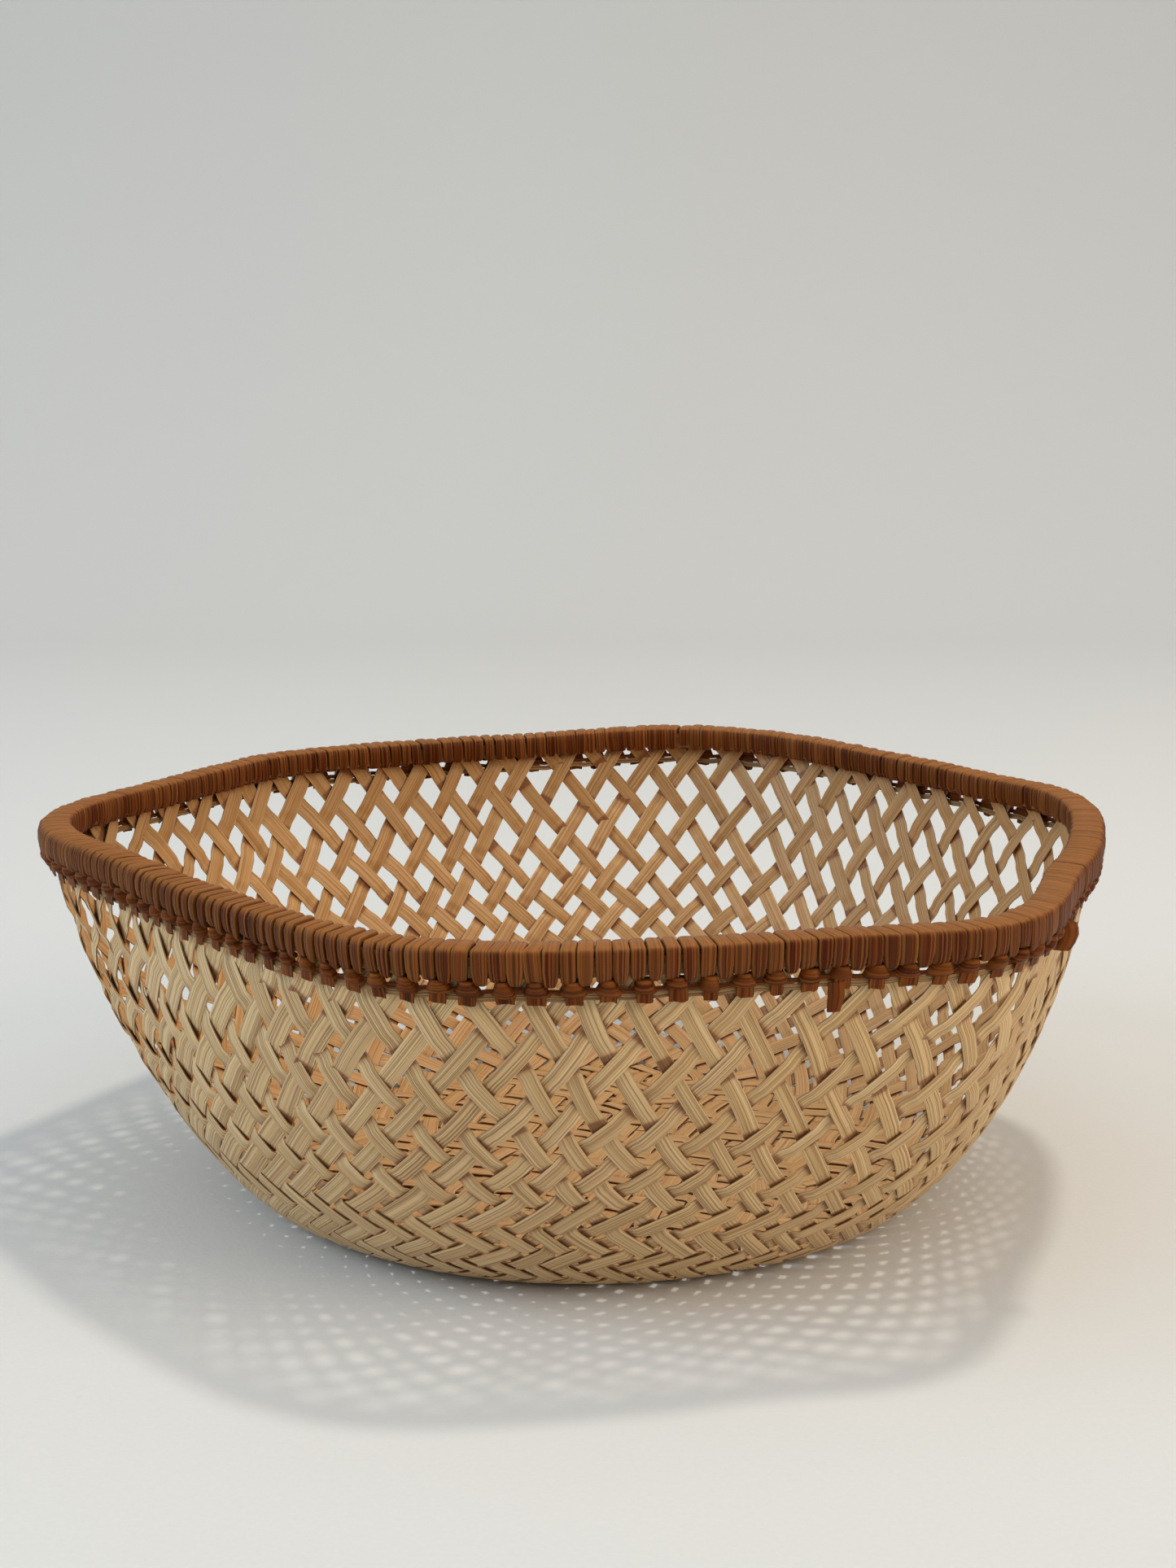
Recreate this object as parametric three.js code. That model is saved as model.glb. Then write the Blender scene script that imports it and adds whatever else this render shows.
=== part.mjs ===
// A plaited bamboo basket: a woven bowl of flat splints, its raw edge held between two bent hoops,
// covered by a filler strip, bound over with cane and locked by a row of small knots on a runner.
// Millimetres, +Z up, origin at the middle of the flat base, the photographed front towards -Y.

import * as THREE from 'three';

// Overall sizes
const HEIGHT = 88.5; // floor to the top of the bound rim
const BASE_RADIUS = 76; // flat patch that the basket stands on
const RIM_RADIUS = 123.5; // mean radius of the rim's centre line
const RIM_SHIFT = [2.4, 3.8]; // how far the rim's centre lies from the base's centre, x and y

// Hand-bent plan of the rim: bearing in degrees and the amount in or out from the mean radius.
// Corners and side middles take turns, starting with a corner.
const RIM_PLAN = [
  [14, 0.6], [33, -5.8], [76, 11.5], [109, -5.9], [138, 0.3], [150, -1.4],
  [179, 9.2], [216, -9.3], [257, 4.0], [285, -0.8], [308, 9.0], [340, -5.6],
];
const CORNER_SHARPNESS = 1.6; // 1 gives a soft wave, more gives flatter sides and tighter corners

// Woven wall
const WALL_THICKNESS = 1.2; // two crossing splints
const BELLY_TOP = 1.48; // how upright the wall stands near the rim
const BELLY_FOOT = 1.62; // how round the wall turns in to the base

// Rim: two hoops with the wall between them, a filler strip on top, and the binding around all
const RIM_WIDTH = 8.4; // across the binding
const RIM_DEPTH = 7.0; // top to underside of the binding
const BINDING_THICKNESS = 0.7;
const BINDING_CREASE = 0.3; // depth of the groove between two wraps
const RIM_CHAMFER = 1.4; // the binding's rounded upper edges
const FILLER_THICKNESS = 0.9;
const HOOP_LAP = 14; // degrees over which a hoop's tapered ends lie on each other
const HOOP_TIP = 0.4; // thickness left at a hoop's tapered tip
const CLEARANCE = 0.3; // gap between pieces that bear on each other

// The binding is laid on in lengths, each with its own row of knots below it
const LENGTHS = 6;
const FIRST_JOIN = 259; // bearing of the join that shows at the front
const JOIN_GAP = 0.8; // between two lengths
const WRAPS_PER_LENGTH = 30;
const KNOTS_PER_LENGTH = 20;

// Knots and runner, on the outside of the wall just below the binding
const KNOT_WIDTH = 5.0;
const KNOT_DEPTH = 4.6; // from its top edge to the tip of its tail
const KNOT_BULGE = 2.6; // how far it stands off the wall
const KNOT_TAIL = 0.8; // thickness of the tail over the runner
const KNOT_SEAT = 0.6; // gap to the wall's facets, which a straight knot bridges at a corner
const LINK_DEPTH = 1.2; // strip that runs from knot to knot
const LINK_BULGE = 0.7;
const RUNNER_HEIGHT = 1.4;
const RUNNER_THICKNESS = 0.5;
const RUNNER_DROP = 3.2; // from the knots' top edge to the runner's top edge

// Loose end and end knot, in degrees on from the join that shows at the front
const TAIL_FROM_JOIN = 34;
const TAIL_WIDTH = 3.2;
const TAIL_LENGTH = 4.6;
const END_KNOT_FROM_JOIN = 63;
const END_KNOT_SIZE = 4.4;

// A plain lattice of openings between diagonal ribs, for the open weave of the upper wall
const OPENING_COLUMNS = 18; // around each row; every other row is moved by half a column
const OPENING_ROWS = 3;
const OPENING_HEIGHT = 17;
const OPENING_ROW_PITCH = 10.5; // row to row
const OPENING_BELOW_SHOULDER = 8; // from the shoulder down to the highest corners
const OPENING_MARGIN = 2; // plain wall next to the highest and lowest corners

// Facets
const WALL_STEPS = 4 * OPENING_COLUMNS; // around the wall and the hoops: an opening is two steps wide
const WALL_LEVELS = 10; // floor to shoulder, where there are no openings

const bamboo = material('bamboo', 0xd9b77c, 0.62);
const hoopBamboo = material('hoop_bamboo', 0xb98a55, 0.6);
const cane = material('cane', 0x8a5228, 0.55);
const darkCane = material('dark_cane', 0x70401f, 0.6);
const paleStrip = material('pale_strip', 0xb08a5c, 0.65);

function material(name, color, roughness) {
  const made = new THREE.MeshStandardMaterial({ color, roughness, metalness: 0 });
  made.name = name;
  return made;
}

const radians = THREE.MathUtils.degToRad;
const wallTop = HEIGHT - BINDING_THICKNESS - FILLER_THICKNESS - 2 * CLEARANCE;
const shoulder = HEIGHT - RIM_DEPTH; // height at which the wall meets the rim and stands upright
const halfWidth = RIM_WIDTH / 2;
const halfWall = WALL_THICKNESS / 2;

// Distance of the rim's centre line from its own centre, at a bearing in degrees
function rimRadius(bearing) {
  const turned = ((bearing - RIM_PLAN[0][0]) % 360 + 360) % 360;
  let passed = 0;
  for (let i = 0; i < RIM_PLAN.length; i++) {
    const next = RIM_PLAN[(i + 1) % RIM_PLAN.length];
    const span = (next[0] - RIM_PLAN[i][0] + 360) % 360;
    if (turned <= passed + span) {
      const along = (turned - passed) / span;
      const cornerFirst = i % 2 === 0;
      const corner = cornerFirst ? RIM_PLAN[i][1] : next[1];
      const middle = cornerFirst ? next[1] : RIM_PLAN[i][1];
      const fromMiddle = cornerFirst ? 1 - along : along;
      const rise = Math.pow(Math.sin(fromMiddle * Math.PI / 2) ** 2, CORNER_SHARPNESS);
      return RIM_RADIUS + middle + (corner - middle) * rise;
    }
    passed += span;
  }
  return RIM_RADIUS + RIM_PLAN[0][1];
}

// Mean radius of the wall's outer face at a height: flat on the floor, upright under the rim
function bellyRadius(z) {
  const t = Math.min(Math.max(z / shoulder, 0), 1);
  const bulge = Math.pow(1 - Math.pow(1 - t, BELLY_TOP), 1 / BELLY_FOOT);
  return BASE_RADIUS + (RIM_RADIUS + halfWall - BASE_RADIUS) * bulge;
}

// A point at a bearing, height and mean radius: the round base turns into the rim's plan going up.
// Between two stations of the wall it lies on their chord, so that all pieces share the wall's facets.
function bowlPoint(bearing, z, meanRadius) {
  const t = Math.min(Math.max(z / shoulder, 0), 1);
  const station = bearing * WALL_STEPS / 360;
  const [before, after] = [Math.floor(station), Math.floor(station) + 1].map((whole) => {
    const there = whole * 360 / WALL_STEPS;
    const radius = meanRadius + t * (rimRadius(there) - RIM_RADIUS);
    const angle = radians(there);
    return new THREE.Vector3(radius * Math.cos(angle), radius * Math.sin(angle), z);
  });
  const point = before.lerp(after, station - Math.floor(station));
  return point.add(new THREE.Vector3(RIM_SHIFT[0] * t, RIM_SHIFT[1] * t, 0));
}

// The given start and end, with the wall's own stations between them, as bearings
function stationsBetween(start, end) {
  const step = 360 / WALL_STEPS;
  const first = Math.floor(start / step) + 1;
  const inside = Array.from({ length: Math.ceil(end / step) - first }, (_, i) => (first + i) * step);
  return [start, ...inside, end];
}

// A point beside the wall: off is level with the floor, out from the outer face
function beside(bearing, z, off) {
  return bowlPoint(bearing, z, bellyRadius(z) + off);
}

// A point in the rim: across is outwards from the centre line, drop is down from the top
function inRim(bearing, across, drop) {
  return bowlPoint(bearing, HEIGHT - drop, RIM_RADIUS + across);
}

// One closed mesh from points and triangles, turned so that its faces point out
function solid(name, points, triangles, finish) {
  let volume = 0;
  for (const [a, b, c] of triangles) {
    volume += points[a].dot(new THREE.Vector3().crossVectors(points[b], points[c])) / 6;
  }
  const order = volume < 0 ? triangles.map(([a, b, c]) => [a, c, b]) : triangles;
  const geometry = new THREE.BufferGeometry();
  geometry.setAttribute('position', new THREE.Float32BufferAttribute(points.flatMap((p) => p.toArray()), 3));
  geometry.setIndex(order.flat());
  geometry.computeVertexNormals();
  const mesh = new THREE.Mesh(geometry, finish);
  mesh.name = name;
  return mesh;
}

// Quads between neighbouring rings of points; around joins each ring's last point to its first
function ringQuads(first, rings, perRing, around) {
  const quads = [];
  const across = around ? perRing : perRing - 1;
  for (let i = 0; i < rings - 1; i++) {
    for (let k = 0; k < across; k++) {
      const a = first + i * perRing + k;
      const b = first + i * perRing + (k + 1) % perRing;
      quads.push([a, b, b + perRing], [a, b + perRing, a + perRing]);
    }
  }
  return quads;
}

// A strip with two ends: section(step) gives the points of its outline at each step
function strip(name, steps, section, finish) {
  const rings = steps.map(section);
  const perRing = rings[0].length;
  const points = rings.flat();
  const triangles = ringQuads(0, rings.length, perRing, true);
  const last = (rings.length - 1) * perRing;
  for (let k = 1; k < perRing - 1; k++) {
    triangles.push([0, k + 1, k], [last, last + k, last + k + 1]);
  }
  return solid(name, points, triangles, finish);
}

// Heights of the middles of the rows of openings, from the lowest row up
function openingMiddles() {
  const highest = shoulder - OPENING_BELOW_SHOULDER - OPENING_HEIGHT / 2;
  return Array.from({ length: OPENING_ROWS }, (_, i) => highest - (OPENING_ROWS - 1 - i) * OPENING_ROW_PITCH);
}

// Lower and upper corner of a row's opening on a station: both ends of its upright at the opening's middle,
// the same point twice at its side corners, and none on the station between two openings
function openingCorners(row, station) {
  const middle = openingMiddles()[row];
  const steps = WALL_STEPS / OPENING_COLUMNS;
  const offset = (station + (row % 2) * steps / 2) % steps;
  if (offset === 0) {
    return [middle - OPENING_HEIGHT / 2, middle + OPENING_HEIGHT / 2];
  }
  return offset === steps / 2 ? null : [middle, middle];
}

// Heights of the wall's points on a station: plain levels, with the openings' corners in their band
function stationHeights(station) {
  const middles = openingMiddles();
  const foot = middles[0] - OPENING_HEIGHT / 2 - OPENING_MARGIN;
  const head = middles[OPENING_ROWS - 1] + OPENING_HEIGHT / 2 + OPENING_MARGIN;
  const levels = Array.from({ length: WALL_LEVELS + 1 }, (_, i) => shoulder * (i / WALL_LEVELS) ** 2);
  const corners = new Set(middles.flatMap((_, row) => openingCorners(row, station) || []));
  return [
    ...levels.filter((z) => z < foot - OPENING_MARGIN), foot, ...[...corners].sort((a, b) => a - b), head,
    ...levels.filter((z) => z > head + OPENING_MARGIN),
  ];
}

// Stretches of solid wall between a station and the next, as [first, last] places in each one's heights
function solidStretches(station, next, heights, nextHeights) {
  const stretches = [];
  let [from, nextFrom] = [0, 0];
  for (let row = 0; row < OPENING_ROWS; row++) {
    const here = openingCorners(row, station);
    const there = openingCorners(row, next);
    if (here && there) {
      stretches.push([from, heights.indexOf(here[0]), nextFrom, nextHeights.indexOf(there[0])]);
      from = heights.indexOf(here[1]);
      nextFrom = nextHeights.indexOf(there[1]);
    }
  }
  stretches.push([from, heights.length - 1, nextFrom, nextHeights.length - 1]);
  return stretches;
}

// The bowl: outer face from the floor up, over the top edge, and down the inner face to the floor, with the
// openings cut through both faces
function wovenBody() {
  const points = [];
  const stations = Array.from({ length: WALL_STEPS }, (_, station) => {
    const bearing = 360 * station / WALL_STEPS;
    const heights = stationHeights(station);
    const place = (radius, z) => points.push(bowlPoint(bearing, z, radius)) - 1;
    const outer = heights.map((z) => place(bellyRadius(z), z));
    const top = [place(RIM_RADIUS + halfWall, wallTop), place(RIM_RADIUS - halfWall, wallTop)];
    const inner = heights.map((z) => {
      const [radius, height] = innerFace(z);
      return place(radius, height);
    });
    return { heights, outer, top, inner };
  });
  const under = points.push(new THREE.Vector3(0, 0, 0)) - 1;
  const over = points.push(new THREE.Vector3(0, 0, WALL_THICKNESS)) - 1;
  const triangles = [];
  const quad = (a, b, c, d) => triangles.push([a, b, c], [a, c, d]);
  stations.forEach((here, station) => {
    const nextStation = (station + 1) % WALL_STEPS;
    const next = stations[nextStation];
    const between = solidStretches(station, nextStation, here.heights, next.heights);
    for (const [from, to, nextFrom, nextTo] of between) {
      const a = here.heights.slice(from, to + 1);
      const b = next.heights.slice(nextFrom, nextTo + 1);
      triangles.push(...lace(here.outer.slice(from, to + 1), a, next.outer.slice(nextFrom, nextTo + 1), b));
      triangles.push(...lace(here.inner.slice(from, to + 1), a, next.inner.slice(nextFrom, nextTo + 1), b)
        .map(([p, q, r]) => [p, r, q]));
    }
    for (let i = 0; i < between.length - 1; i++) {
      const [to, nextTo] = [between[i][1], between[i][3]];
      const [from, nextFrom] = [between[i + 1][0], between[i + 1][2]];
      quad(here.outer[to], next.outer[nextTo], next.inner[nextTo], here.inner[to]);
      quad(next.outer[nextFrom], here.outer[from], here.inner[from], next.inner[nextFrom]);
    }
    const last = here.heights.length - 1;
    const nextLast = next.heights.length - 1;
    quad(here.outer[last], next.outer[nextLast], next.top[0], here.top[0]);
    quad(here.top[0], next.top[0], next.top[1], here.top[1]);
    quad(here.top[1], next.top[1], next.inner[nextLast], here.inner[last]);
    triangles.push([under, next.outer[0], here.outer[0]], [over, here.inner[0], next.inner[0]]);
  });
  return solid('woven_body', points, triangles, bamboo);
}

// Mean radius and height of the inner face, one wall thickness square in from the outer face
function innerFace(z) {
  const h = 0.05;
  const low = Math.max(z - h, 0);
  const slope = new THREE.Vector2(bellyRadius(z + h) - bellyRadius(low), z + h - low).normalize();
  return [bellyRadius(z) - WALL_THICKNESS * slope.y, z + WALL_THICKNESS * slope.x];
}

// A bent slat whose tapered ends lie on each other; near and far are its faces across the rim
function hoop(name, near, far, bearingOfLap) {
  const top = HEIGHT - wallTop;
  const bottom = RIM_DEPTH - BINDING_THICKNESS - CLEARANCE;
  const step = 360 / WALL_STEPS;
  const start = Math.round(bearingOfLap / step) * step;
  const lap = HOOP_LAP / step;
  const thickness = far - near;
  const rise = (thickness - HOOP_TIP) / lap;
  const overlapSteps = Math.floor((thickness - 2 * HOOP_TIP - CLEARANCE) / rise);
  const steps = Array.from({ length: WALL_STEPS + overlapSteps + 1 }, (_, i) => i);
  return strip(name, steps, (i) => {
    const bearing = start + i * step;
    const outer = i < lap ? near + HOOP_TIP + rise * i : far;
    const past = i - WALL_STEPS;
    const inner = past > -lap ? Math.max(near, near + HOOP_TIP + CLEARANCE + rise * past) : near;
    return [[inner, bottom], [outer, bottom], [outer, top], [inner, top]]
      .map(([across, drop]) => inRim(bearing, across, drop));
  }, hoopBamboo);
}

// Bearings of a strip that goes once around and stops short of its own start by a join's gap
function onceAround(start) {
  const gap = JOIN_GAP / radians(RIM_RADIUS);
  return stationsBetween(start + gap / 2, start + 360 - gap / 2);
}

// The flat strip that covers the raw ends of the splints, under the binding
function rimFiller() {
  const half = halfWidth - RIM_CHAMFER - CLEARANCE * 1.5;
  const top = BINDING_THICKNESS + CLEARANCE;
  const bottom = top + FILLER_THICKNESS;
  return strip('rim_filler', onceAround(FIRST_JOIN + 180), (bearing) => [
    [-half, bottom], [half, bottom], [half, top], [-half, top],
  ].map(([across, drop]) => inRim(bearing, across, drop)), paleStrip);
}

// Bearings where a length of binding or knots starts and ends, with half a join gap at each end
function lengthEnds(index) {
  const span = 360 / LENGTHS;
  const gap = JOIN_GAP / radians(RIM_RADIUS);
  const start = FIRST_JOIN + index * span;
  return [start + gap / 2, start + span - gap / 2];
}

// Outline of the binding's outside, from lip to lip over the top; crease draws it in between wraps
function bindingOutside(crease) {
  const side = halfWidth - crease;
  const lip = halfWall + CLEARANCE;
  const half = [
    [side - RIM_CHAMFER, crease], [side, RIM_CHAMFER + crease], [side, RIM_DEPTH - crease], [lip, RIM_DEPTH],
  ];
  return [...half.map(([across, drop]) => [-across, drop]).reverse(), ...half];
}

// Outline of the binding's bore, from the same lip back to the other
function bindingBore() {
  const side = halfWidth - BINDING_THICKNESS;
  const lip = halfWall + CLEARANCE;
  const corner = RIM_CHAMFER - BINDING_THICKNESS / 2;
  const floor = RIM_DEPTH - BINDING_THICKNESS;
  const half = [
    [lip, floor], [side, floor], [side, BINDING_THICKNESS + corner], [side - corner, BINDING_THICKNESS],
  ];
  return [...half, ...half.map(([across, drop]) => [-across, drop]).reverse()];
}

// Triangles between two lines of points, each given by its indices and its bearings
function lace(lineA, bearingsA, lineB, bearingsB) {
  const triangles = [];
  let a = 0;
  let b = 0;
  while (a < lineA.length - 1 || b < lineB.length - 1) {
    const nextA = a < lineA.length - 1 ? bearingsA[a + 1] : Infinity;
    const nextB = b < lineB.length - 1 ? bearingsB[b + 1] : Infinity;
    if (nextA <= nextB) {
      triangles.push([lineA[a], lineB[b], lineA[a + 1]]);
      a += 1;
    } else {
      triangles.push([lineA[a], lineB[b], lineB[b + 1]]);
      b += 1;
    }
  }
  return triangles;
}

// One length of binding: a sleeve around the rim, open along the wall, with a crest on every wrap
function bindingLength(index) {
  const [start, end] = lengthEnds(index);
  const outerBearings = [];
  for (let i = 0; i <= 2 * WRAPS_PER_LENGTH; i++) {
    outerBearings.push(start + (end - start) * i / (2 * WRAPS_PER_LENGTH));
  }
  const boreBearings = stationsBetween(start, end);
  const outside = outerBearings.map((bearing, i) => bindingOutside(i % 2 ? 0 : BINDING_CREASE)
    .map(([across, drop]) => inRim(bearing, across, drop)));
  const bore = boreBearings.map((bearing) => bindingBore()
    .map(([across, drop]) => inRim(bearing, across, drop)));
  const points = [...outside.flat(), ...bore.flat()];
  const perOutside = outside[0].length;
  const perBore = bore[0].length;
  const boreFirst = outside.length * perOutside;
  const triangles = ringQuads(0, outside.length, perOutside, false)
    .concat(ringQuads(boreFirst, bore.length, perBore, false));
  const column = (first, rings, perRing, k) => Array.from({ length: rings }, (_, i) => first + i * perRing + k);
  const outerLip = column(0, outside.length, perOutside, perOutside - 1);
  const innerLip = column(0, outside.length, perOutside, 0);
  const boreStart = column(boreFirst, bore.length, perBore, 0);
  const boreEnd = column(boreFirst, bore.length, perBore, perBore - 1);
  triangles.push(...lace(outerLip, outerBearings, boreStart, boreBearings));
  triangles.push(...lace(innerLip, outerBearings, boreEnd, boreBearings).map(([a, b, c]) => [a, c, b]));
  for (const [ring, boreRing, flip] of [[0, 0, true], [outside.length - 1, bore.length - 1, false]]) {
    const rim = outside[ring].map((_, k) => ring * perOutside + k);
    const hole = bore[boreRing].map((_, k) => boreFirst + boreRing * perBore + k);
    const outline = [...bindingOutside(BINDING_CREASE), ...bindingBore()].map(([x, y]) => new THREE.Vector2(x, y));
    const numbers = [...rim, ...hole];
    for (const [a, b, c] of THREE.ShapeUtils.triangulateShape(outline, [])) {
      triangles.push(flip ? [numbers[a], numbers[c], numbers[b]] : [numbers[a], numbers[b], numbers[c]]);
    }
  }
  return solid(`rim_binding_${index + 1}`, points, triangles, cane);
}

const knotTop = shoulder - CLEARANCE; // height of the knots' top edge
const overRunner = KNOT_SEAT + CLEARANCE + RUNNER_THICKNESS; // a tail's inner face, off the wall

// Outline of the knot row: full at a knot, drawn in to a flat strip between knots
function knotOutline(full) {
  if (!full) {
    const face = KNOT_SEAT + LINK_BULGE;
    return [[KNOT_SEAT, 0], [face, 0], [face, LINK_DEPTH], [KNOT_SEAT, LINK_DEPTH]];
  }
  return [
    [KNOT_SEAT, 0], [KNOT_BULGE, 0], [overRunner + KNOT_TAIL, KNOT_DEPTH], [overRunner, KNOT_DEPTH],
  ];
}

// One length of knots: a strip that swells into a knot with a short tail for every pair of wraps
function knotLength(index) {
  const [start, end] = lengthEnds(index);
  const pitch = (end - start) / KNOTS_PER_LENGTH;
  const half = KNOT_WIDTH / radians(RIM_RADIUS) / 2;
  const shoulderWidth = 0.3 * (pitch / 2 - half);
  const steps = [];
  for (let k = 0; k < KNOTS_PER_LENGTH; k++) {
    const middle = start + (k + 0.5) * pitch;
    steps.push([middle - half - shoulderWidth, false], [middle - half, true]);
    steps.push([middle + half, true], [middle + half + shoulderWidth, false]);
  }
  return strip(`knot_row_${index + 1}`, steps, ([bearing, full]) => knotOutline(full)
    .map(([off, drop]) => beside(bearing, knotTop - drop, off)), darkCane);
}

// The thin strip behind the knots' tails, lying against the wall
function runner() {
  const top = knotTop - RUNNER_DROP;
  return strip('runner', onceAround(FIRST_JOIN + 90), (bearing) => [
    [0, 0], [RUNNER_THICKNESS, 0], [RUNNER_THICKNESS, RUNNER_HEIGHT], [0, RUNNER_HEIGHT],
  ].map(([off, drop]) => beside(bearing, top - drop, off + CLEARANCE)), paleStrip);
}

// A knot's tail left long, hanging below its row
function looseTail() {
  const half = TAIL_WIDTH / radians(RIM_RADIUS) / 2;
  const top = knotTop - KNOT_DEPTH - CLEARANCE;
  return strip('loose_tail', [-half, half], (turn) => [
    [overRunner, 0], [overRunner + KNOT_TAIL, 0],
    [overRunner + 1.5 * KNOT_TAIL, TAIL_LENGTH], [overRunner + 0.9 * KNOT_TAIL, TAIL_LENGTH],
  ].map(([out, drop]) => beside(FIRST_JOIN + TAIL_FROM_JOIN + turn, top - drop, out)), darkCane);
}

// The folded end of the last length, a small block of strip against the knots
function endKnot() {
  const half = END_KNOT_SIZE / radians(RIM_RADIUS) / 2;
  const out = KNOT_BULGE + CLEARANCE;
  const thickness = 0.45 * END_KNOT_SIZE;
  return strip('end_knot', [-half, -half / 2, half / 2, half], (turn) => {
    const swell = Math.abs(turn) < half ? 1 : 0.55;
    return [
      [out, 0.1], [out + thickness * swell, 0.25], [out + thickness * swell, 0.8], [out, 0.95],
    ].map(([off, share]) => {
      return beside(FIRST_JOIN + END_KNOT_FROM_JOIN + turn, knotTop - share * END_KNOT_SIZE, off);
    });
  }, darkCane);
}

const basket = new THREE.Group();
basket.add(wovenBody());
basket.add(hoop('inner_hoop', -(halfWidth - BINDING_THICKNESS - CLEARANCE), -(halfWall + CLEARANCE), FIRST_JOIN + 30));
basket.add(hoop('outer_hoop', halfWall + CLEARANCE, halfWidth - BINDING_THICKNESS - CLEARANCE, FIRST_JOIN + 210));
basket.add(rimFiller());
basket.add(runner());
for (let index = 0; index < LENGTHS; index++) {
  basket.add(bindingLength(index));
  basket.add(knotLength(index));
}
basket.add(looseTail());
basket.add(endKnot());

export default basket;
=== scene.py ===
"""A plaited bamboo basket with a cane-bound rim, dressed over its packed source model.

Lengths are millimetres while a shape is worked out and metres once it is in a mesh. Bearings are degrees,
seen from above, with the photographed front at -90. Weave positions are counted in splints from the middle
of the base.
"""

import bpy
import numpy as np
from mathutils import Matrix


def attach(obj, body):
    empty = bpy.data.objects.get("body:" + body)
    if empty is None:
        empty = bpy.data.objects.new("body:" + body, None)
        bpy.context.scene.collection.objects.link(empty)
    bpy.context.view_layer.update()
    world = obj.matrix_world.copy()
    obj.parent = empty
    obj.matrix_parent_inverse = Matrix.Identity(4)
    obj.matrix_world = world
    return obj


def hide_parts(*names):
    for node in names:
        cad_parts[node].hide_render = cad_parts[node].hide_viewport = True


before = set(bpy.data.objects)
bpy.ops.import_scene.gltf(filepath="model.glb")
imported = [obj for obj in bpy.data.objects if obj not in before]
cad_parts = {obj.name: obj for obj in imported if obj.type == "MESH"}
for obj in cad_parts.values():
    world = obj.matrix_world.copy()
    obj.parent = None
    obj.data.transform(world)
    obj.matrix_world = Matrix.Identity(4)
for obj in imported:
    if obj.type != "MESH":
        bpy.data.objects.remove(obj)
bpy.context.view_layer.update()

MM = 0.001
SEED = 27
rng = np.random.default_rng(SEED)

# The camera: the sensor's longer side in millimetres, the focal length and the frame's height in pixels, the
# place in millimetres and the pitch below level in degrees
SENSOR = 36
FOCAL_LENGTH = 2900
FRAME_HEIGHT = 1927
CAMERA_PLACE = (0.43, -564.84, 205.5)
CAMERA_PITCH = 10.9

# Sizes shared with the source model
HEIGHT = 88.5
BASE_RADIUS = 76.0
RIM_RADIUS = 123.5
RIM_SHIFT = (2.4, 3.8)
# Bearing of each corner and side middle in turn, and how far outside the mean radius the rim lies there
RIM_PLAN = ((14, 0.6), (33, -5.8), (76, 11.5), (109, -5.9), (138, 0.3), (150, -1.4),
            (179, 9.2), (216, -9.3), (257, 4.0), (285, -0.8), (308, 9.0), (340, -5.6))
CORNER_SHARPNESS = 1.6
WALL_THICKNESS = 1.2
BELLY_TOP = 1.48
BELLY_FOOT = 1.62
RIM_DEPTH = 7.0
SHOULDER = HEIGHT - RIM_DEPTH
FIRST_JOIN = 259.0
LENGTHS = 6
JOIN_GAP = 0.8
# Strip inside the base's edge where the surface starts to turn up, and the profile's reach above the rim
EDGE_TURN = 3.0
PROFILE_REACH = 5.0

# Weave: 32 splints laid each way in the base, so that 64 rise on each diagonal of the wall
SPLINTS = 32
HALF_MAT = SPLINTS / 2
SPLINTS_PER_PIECE = 4
SPLINT_WIDTH = 3.75
SPLINT_THICKNESS = 0.52
# How far a splint's middle lies off the wall's middle at a crossing
WEAVE_LIFT = 0.32
# How far from the edge of the splint above it the painted shade of a dive starts
DIVE_REACH = 1.5
# Distance of neighbouring splints in the middle of the base, and bearing of the mat's x axis before its twist
BASE_PITCH = 4.6
START_BEARING = -105.5
# The splints end at this row of the wall or at this height, whichever comes first
TOP_ROW = 25
SPLINT_TOP = 86.0
# Height of the crossings' rows, as distance up the wall from the edge of the base
ROWS = (0, 4, 8, 12, 16, 20, 22)
ROW_HEIGHTS = (-4, 9.2, 23.7, 41, 64.4, 97.5, 114.7)
# Bearing and how far the rows lie lower there
ROW_DROP = ((-150, 1.5), (-95, 0), (-48, 11.5), (-5, 5), (30, 9), (75, 2), (120, 6), (165, 2))
# Bearing and how far the columns lie to the side there, in degrees, in full from this level on
COLUMN_DRIFT = ((-150, 2.5), (-97, 0), (-83, -2.6), (-55, -2.8), (0, 0), (120, 0))
DRIFT_LEVEL = 20
# Bearing and the share of their usual width that the splints have there
WIDTH_SHARE = ((-172, 1.5), (-142, 1.42), (-115, 1.16), (-98, 1.02), (-60, 0.98), (0, 1.05), (60, 1.02),
               (150, 1.2))
# The same in the base, and the rows over which the width changes from this share to the wall's
MAT_WIDTH_SHARE = 1.1
WIDTH_ROWS = (1, 10)
# Degrees by which the weave turns for each row, the row where that sets in and how gently, and the row that
# isn't turned
TWIST = 0.35
TWIST_START = 5
TWIST_BEND = 2
TWIST_ZERO = 19
# How far the lowest row sags between the four corners that it has on the mat, and the rows until that ends
SQUARE_DROP = 5
SQUARE_ROWS = 8
# Levels between which the mat's plain angles give way to splints that lean evenly
TURN_LEVELS = (12, 20)
# Up to this row the weave goes over two and under two
TWILL_TOP = 12.5
# Share of a crossing's pitch that a splint lies flat on either side of it, low down and near the rim
FLAT_STRETCH = (0.42, 0.35)
FLAT_ROWS = (4, 18)
# Sideways waves of a splint in pitches: spread of their height, and radians per pitch. Then the spread of the
# shift of its ends, and the rows over which both set in
WANDER = (0.05, 0.035, 0.025)
WANDER_WAVES = (0.35, 0.8, 1.7)
END_SHIFT = 0.045
LOOSE_ROWS = (6, 18)
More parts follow.
